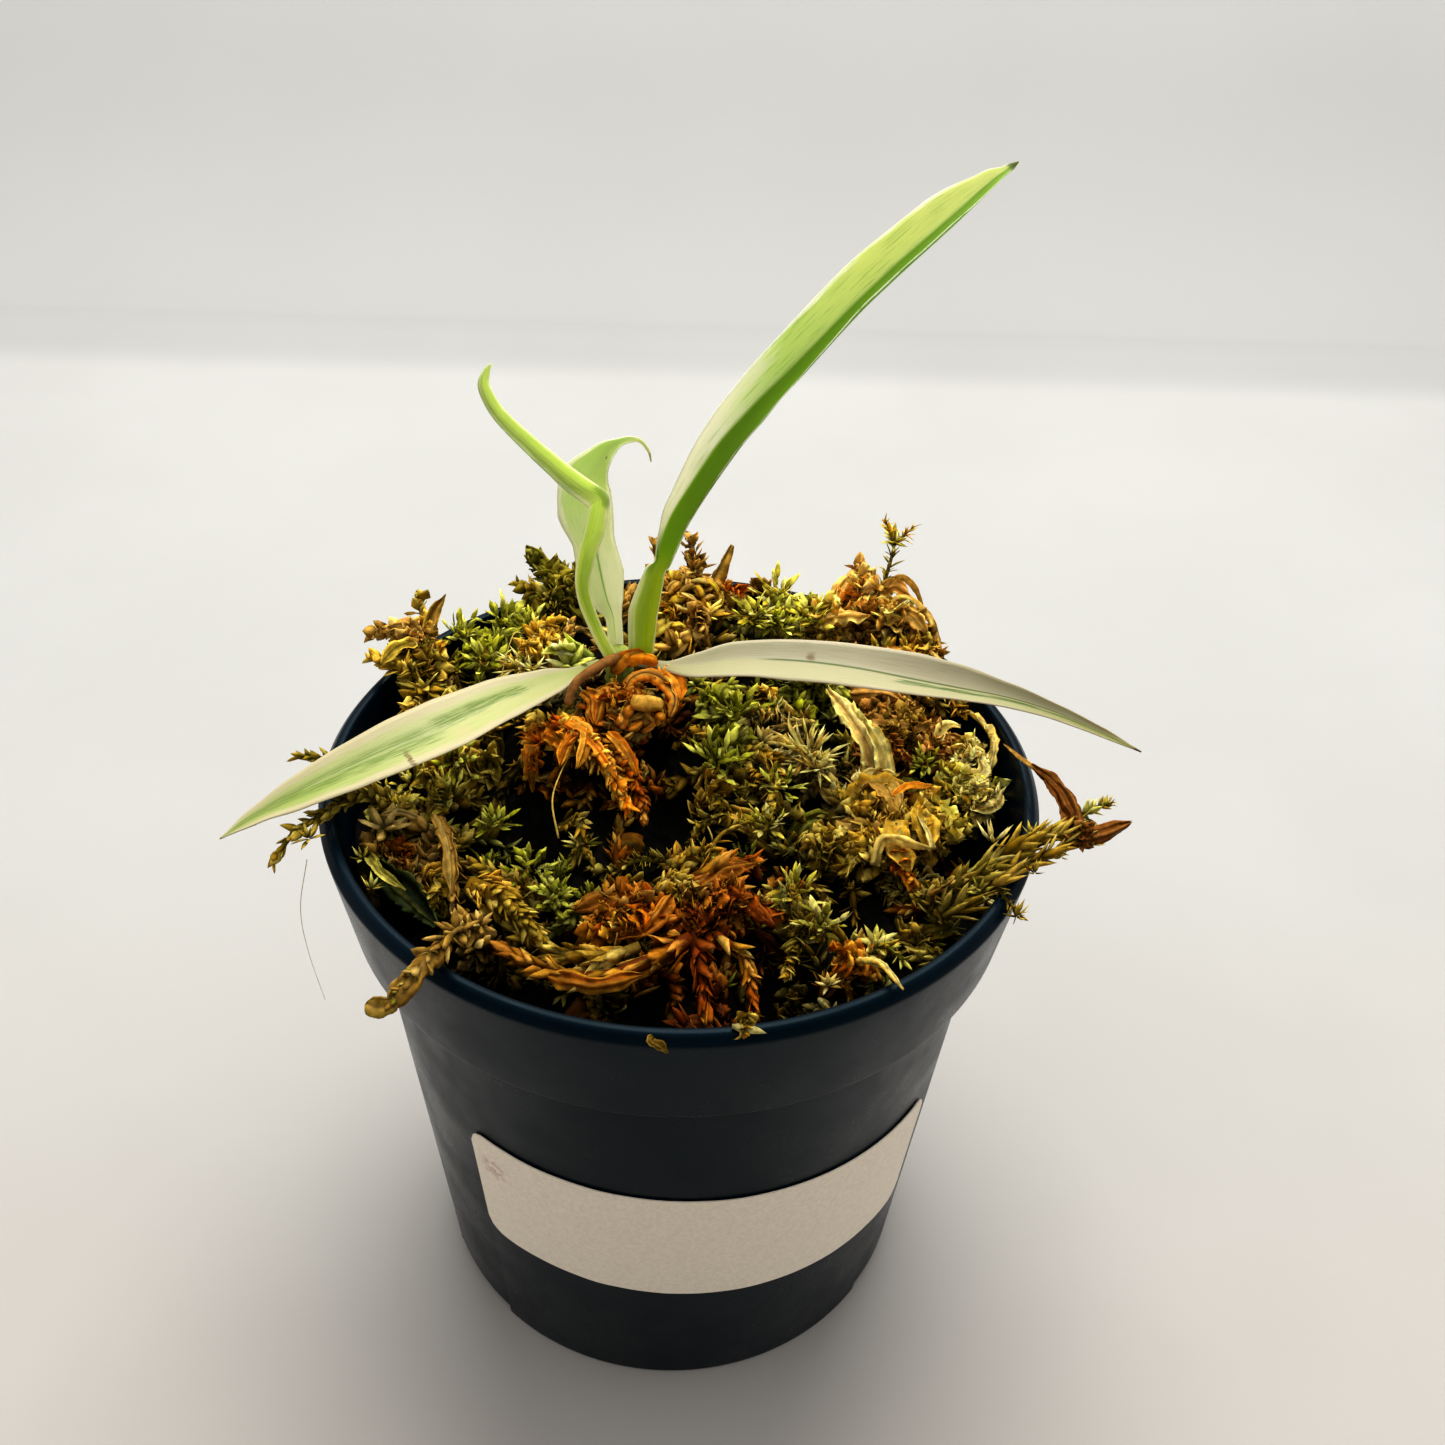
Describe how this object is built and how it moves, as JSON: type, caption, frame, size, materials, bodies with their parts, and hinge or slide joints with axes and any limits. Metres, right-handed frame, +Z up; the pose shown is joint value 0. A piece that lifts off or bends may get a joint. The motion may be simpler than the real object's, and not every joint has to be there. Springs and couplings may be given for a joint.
{
  "type": "potted philodendron tortum",
  "caption": "Young variegated tortum philodendron with narrow strap leaves, growing in sphagnum moss in a round nursery pot with a bare label.",
  "frame": {"origin": "middle of the pot's flat underside, on the surface that it stands on", "axes": "+Z up along the pot's axis, -Y towards the side with the label"},
  "size_m": [0.1254, 0.1012, 0.1716],
  "materials": {
    "pot": "satin, nearly black moulded plastic",
    "label": "matt coated paper, bare",
    "moss_bed": "damp dark moss",
    "stem": "smooth living stem",
    "aerial_root": "dull brown bark",
    "new_shoot": "waxy",
    "leaf_tall": "waxy leaf, cream and green",
    "leaf_curl": "waxy leaf, lime green",
    "leaf_back": "waxy leaf, pale mint and cream",
    "leaf_left": "waxy leaf, cream edges round green",
    "leaf_right": "thin waxy leaf, nearly white",
    "moss_orange": "dry orange moss",
    "moss_rust": "dry rust-coloured moss",
    "moss_green": "live green moss",
    "moss_yellow_green": "live yellow-green moss",
    "moss_olive": "olive moss",
    "moss_straw": "straw-coloured moss",
    "moss_tan": "dry tan moss",
    "moss_brown": "dry brown moss",
    "moss_red": "dry red-brown moss",
    "moss_dark": "dark olive moss"
  },
  "bodies": {
    "root": {"pot": "pot", "label": "label", "moss_bed": "moss_bed", "stem": "stem", "aerial_root": "aerial_root", "new_shoot": "new_shoot", "leaf_tall": "leaf_tall", "leaf_curl": "leaf_curl", "leaf_back": "leaf_back", "leaf_left": "leaf_left", "leaf_right": "leaf_right", "moss_orange_roll": "moss_orange", "moss_rust_front": "moss_rust", "moss_green_centre": "moss_green", "moss_straw_head": "moss_straw", "moss_green_right": "moss_green", "moss_yellow_green_back": "moss_yellow_green", "moss_tan_back": "moss_tan", "moss_tuft_back": "moss_dark", "moss_ochre": "moss_straw", "moss_green_back_left": "moss_green", "moss_brown_back_left": "moss_brown", "moss_brown_back_right": "moss_brown", "moss_slope_right": "moss_brown", "moss_red_right": "moss_red", "moss_pale_curls": "moss_tan", "moss_ribbon": "moss_tan", "moss_yellow_right": "moss_straw", "moss_green_front_right": "moss_yellow_green", "moss_front_right": "moss_straw", "moss_sprig_right": "moss_olive", "moss_sprig_left": "moss_olive", "moss_sprig_front_left": "moss_tan", "moss_left_mix": "moss_tan", "moss_olive_front_left": "moss_olive", "moss_olive_left": "moss_olive"}
  },
  "joints": []
}
